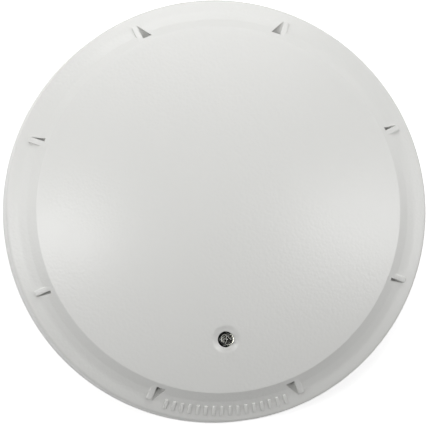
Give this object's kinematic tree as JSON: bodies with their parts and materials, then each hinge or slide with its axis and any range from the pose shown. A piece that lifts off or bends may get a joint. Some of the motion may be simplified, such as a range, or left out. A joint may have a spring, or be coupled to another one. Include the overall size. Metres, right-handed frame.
{
  "type": "heat detector",
  "caption": "Round white low-domed ceiling heat detector: vented sensing head with a clear indicator lamp, twist-locked into a shallow screw-terminal mounting base.",
  "frame": {"origin": "centre of the mounting base's back face, on the detector's axis", "axes": "+Z out of the ceiling through the dome; the indicator lamp lies on the -Y side; +X completes the right-handed frame"},
  "size_m": [0.11, 0.11, 0.0225],
  "materials": {
    "cover_white": "white moulded plastic, fine spark-eroded grain, satin gloss",
    "housing_white": "white moulded plastic, plain tool finish",
    "base_white": "white moulded plastic, plain tool finish",
    "clear_epoxy": "clear polished epoxy",
    "board_green": "green solder mask over woven glass board",
    "chip_black": "fine matte moulding compound",
    "bead_black": "dipped epoxy bead",
    "ceramic_tan": "fired ceramic body",
    "capacitor_can": "drawn aluminium can",
    "tinned_lead": "bright tin plating",
    "contact_nickel": "nickel-plated contact metal with faint stamping lines",
    "spring_bronze": "rolled phosphor-bronze strip",
    "screw_steel": "zinc-plated steel"
  },
  "bodies": {
    "base": {"mounting_base": "base_white", "terminal_plate_1": "contact_nickel", "terminal_plate_2": "contact_nickel", "terminal_plate_3": "contact_nickel", "terminal_plate_4": "contact_nickel", "contact_spring_1": "spring_bronze", "contact_spring_2": "spring_bronze", "contact_spring_3": "spring_bronze", "contact_spring_4": "spring_bronze"},
    "head": {"front_cover": "cover_white", "indicator_lens": "clear_epoxy", "indicator_cathode": "tinned_lead", "indicator_anode": "tinned_lead", "indicator_spacer": "housing_white", "circuit_board": "board_green", "rear_housing": "housing_white", "sensing_thermistor": "bead_black", "thermistor_lead_left": "tinned_lead", "thermistor_lead_right": "tinned_lead", "microcontroller": "chip_black", "memory_chip": "chip_black", "bridge_rectifier": "chip_black", "surge_suppressor": "chip_black", "voltage_regulator": "chip_black", "storage_capacitor": "capacitor_can", "filter_capacitor": "ceramic_tan", "clock_resonator": "tinned_lead", "loop_resistor": "chip_black", "lamp_resistor": "chip_black", "reference_thermistor": "ceramic_tan", "fixing_screw_1": "screw_steel", "fixing_screw_2": "screw_steel", "fixing_screw_3": "screw_steel", "contact_blade_1": "contact_nickel", "contact_blade_2": "contact_nickel", "contact_blade_3": "contact_nickel", "contact_blade_4": "contact_nickel"},
    "clamp_1": {"clamp_plate_1": "screw_steel"},
    "screw_1": {"terminal_screw_1": "screw_steel"},
    "clamp_2": {"clamp_plate_2": "screw_steel"},
    "screw_2": {"terminal_screw_2": "screw_steel"},
    "clamp_3": {"clamp_plate_3": "screw_steel"},
    "screw_3": {"terminal_screw_3": "screw_steel"},
    "clamp_4": {"clamp_plate_4": "screw_steel"},
    "screw_4": {"terminal_screw_4": "screw_steel"}
  },
  "joints": [
    {"name": "head_twist", "type": "hinge", "parent": "base", "child": "head", "pos_m": [0, 0, 0.005], "axis": [0, 0, 1], "range_deg": [0, 24]},
    {"name": "clamp_lift_1", "type": "slide", "parent": "base", "child": "clamp_1", "axis": [0, 0, 1], "range_m": [0, 0.0014]},
    {"name": "screw_turn_1", "type": "hinge", "parent": "clamp_1", "child": "screw_1", "pos_m": [0.02786, 0.02786, 0.004], "axis": [0, 0, 1], "range_deg": [0, 720]},
    {"name": "clamp_lift_2", "type": "slide", "parent": "base", "child": "clamp_2", "axis": [0, 0, 1], "range_m": [0, 0.0014]},
    {"name": "screw_turn_2", "type": "hinge", "parent": "clamp_2", "child": "screw_2", "pos_m": [-0.02786, 0.02786, 0.004], "axis": [0, 0, 1], "range_deg": [0, 720]},
    {"name": "clamp_lift_3", "type": "slide", "parent": "base", "child": "clamp_3", "axis": [0, 0, 1], "range_m": [0, 0.0014]},
    {"name": "screw_turn_3", "type": "hinge", "parent": "clamp_3", "child": "screw_3", "pos_m": [-0.02786, -0.02786, 0.004], "axis": [0, 0, 1], "range_deg": [0, 720]},
    {"name": "clamp_lift_4", "type": "slide", "parent": "base", "child": "clamp_4", "axis": [0, 0, 1], "range_m": [0, 0.0014]},
    {"name": "screw_turn_4", "type": "hinge", "parent": "clamp_4", "child": "screw_4", "pos_m": [0.02786, -0.02786, 0.004], "axis": [0, 0, 1], "range_deg": [0, 720]}
  ],
  "couplings": [
    {"joint": "screw_turn_1", "follows": "clamp_lift_1", "rad_per_m": 8975.9},
    {"joint": "screw_turn_2", "follows": "clamp_lift_2", "rad_per_m": 8975.9},
    {"joint": "screw_turn_3", "follows": "clamp_lift_3", "rad_per_m": 8975.9},
    {"joint": "screw_turn_4", "follows": "clamp_lift_4", "rad_per_m": 8975.9}
  ]
}
